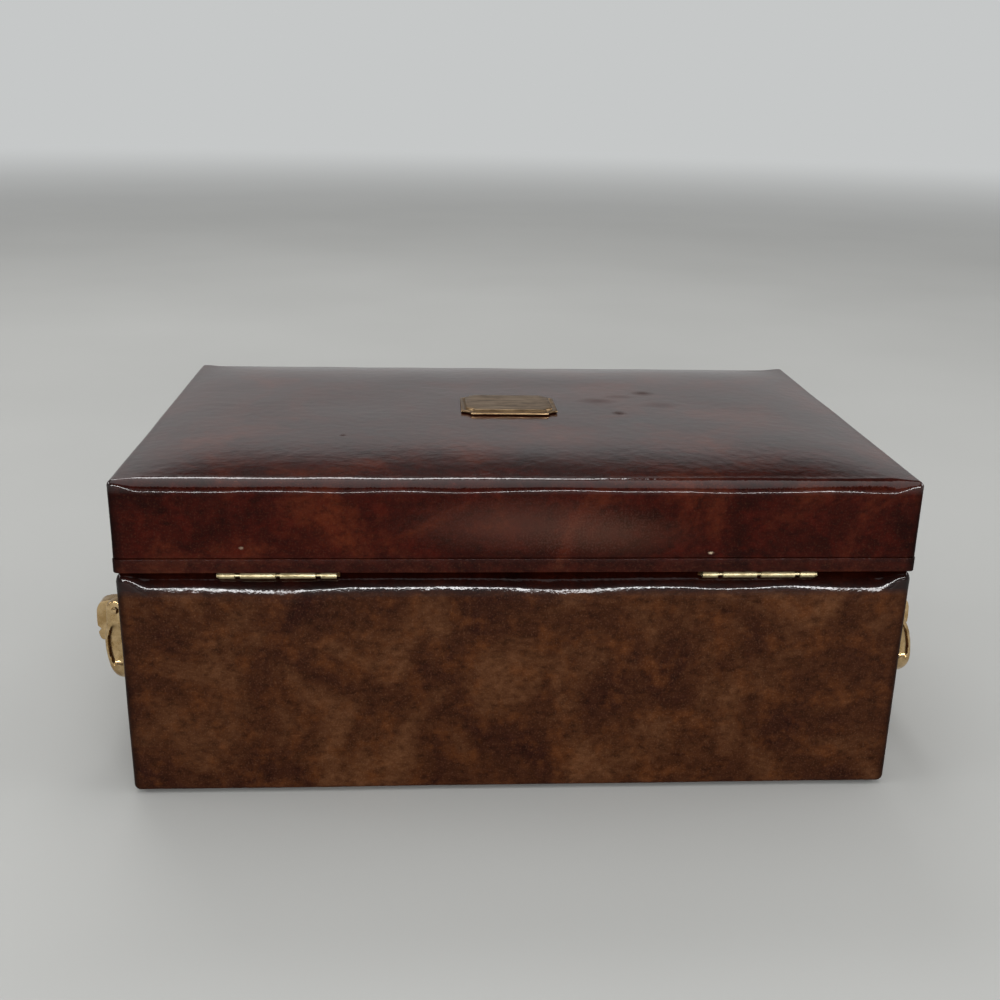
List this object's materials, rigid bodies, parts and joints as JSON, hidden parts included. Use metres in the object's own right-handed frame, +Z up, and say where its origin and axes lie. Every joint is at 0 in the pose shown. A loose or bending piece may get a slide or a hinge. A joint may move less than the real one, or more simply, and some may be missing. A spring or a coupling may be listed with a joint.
{
  "type": "dresser box",
  "caption": "Rectangular leather covered dresser box with a padded hinged lid, a blank brass plate on top and a swinging brass bail handle at each side.",
  "frame": {"origin": "centre of the underside, where the box stands", "axes": "+Z up, +X along the width to the right as seen from the front, -Y out of the front and +Y out of the back, where the hinges are"},
  "size_m": [0.3469, 0.1942, 0.1354],
  "materials": {
    "glazed_leather": "glossy glazed leather, mottled dark red-brown",
    "band_leather": "slightly duller glazed leather band",
    "carcass_wood": "bare softwood boards",
    "felt": "brown felt",
    "suede_lining": "tan suede cloth over board",
    "wadding": "cotton wadding, hidden",
    "polished_brass": "polished cast brass, handled",
    "tarnished_brass": "dull pale brass hinges",
    "bronzed_brass": "streaky tarnished brass plate"
  },
  "bodies": {
    "base": {"base_front_board": "carcass_wood", "base_front_lining": "suede_lining", "base_back_board": "carcass_wood", "base_back_lining": "suede_lining", "base_left_board": "carcass_wood", "base_left_lining": "suede_lining", "base_right_board": "carcass_wood", "base_right_lining": "suede_lining", "base_bottom_board": "carcass_wood", "base_floor_lining": "suede_lining", "base_leather": "glazed_leather", "base_felt": "felt", "base_hinge_screw_left_1": "tarnished_brass", "base_hinge_screw_left_2": "tarnished_brass", "base_hinge_screw_right_1": "tarnished_brass", "base_hinge_screw_right_2": "tarnished_brass", "left_hinge_base_leaf": "tarnished_brass", "left_hinge_pin": "tarnished_brass", "left_front_handle_post": "polished_brass", "left_front_post_screw": "polished_brass", "left_front_bail_pin": "polished_brass", "left_back_handle_post": "polished_brass", "left_back_post_screw": "polished_brass", "left_back_bail_pin": "polished_brass", "right_hinge_base_leaf": "tarnished_brass", "right_hinge_pin": "tarnished_brass", "right_front_handle_post": "polished_brass", "right_front_post_screw": "polished_brass", "right_front_bail_pin": "polished_brass", "right_back_handle_post": "polished_brass", "right_back_post_screw": "polished_brass", "right_back_bail_pin": "polished_brass"},
    "lid": {"lid_front_board": "carcass_wood", "lid_front_lining": "suede_lining", "lid_back_board": "carcass_wood", "lid_back_lining": "suede_lining", "lid_left_board": "carcass_wood", "lid_left_lining": "suede_lining", "lid_right_board": "carcass_wood", "lid_right_lining": "suede_lining", "lid_top_board": "carcass_wood", "lid_top_lining": "suede_lining", "lid_padding": "wadding", "lid_leather": "glazed_leather", "lid_edge_band": "band_leather", "lid_plate": "bronzed_brass", "left_hinge_lid_leaf": "tarnished_brass", "right_hinge_lid_leaf": "tarnished_brass", "lid_hinge_screw_left_1": "tarnished_brass", "lid_hinge_screw_left_2": "tarnished_brass", "lid_hinge_screw_right_1": "tarnished_brass", "lid_hinge_screw_right_2": "tarnished_brass"},
    "right_bail": {"right_bail": "polished_brass"},
    "left_bail": {"left_bail": "polished_brass"}
  },
  "joints": [
    {"name": "lid_hinge", "type": "hinge", "parent": "base", "child": "lid", "pos_m": [0, 0.0952, 0.09265], "axis": [-1, 0, 0], "range_deg": [0, 95]},
    {"name": "right_bail_swing", "type": "hinge", "parent": "base", "child": "right_bail", "pos_m": [0.1635, 0, 0.0603], "axis": [0, -1, 0], "range_deg": [-12, 195]},
    {"name": "left_bail_swing", "type": "hinge", "parent": "base", "child": "left_bail", "pos_m": [-0.1635, 0, 0.0603], "axis": [0, 1, 0], "range_deg": [-27, 180]}
  ]
}
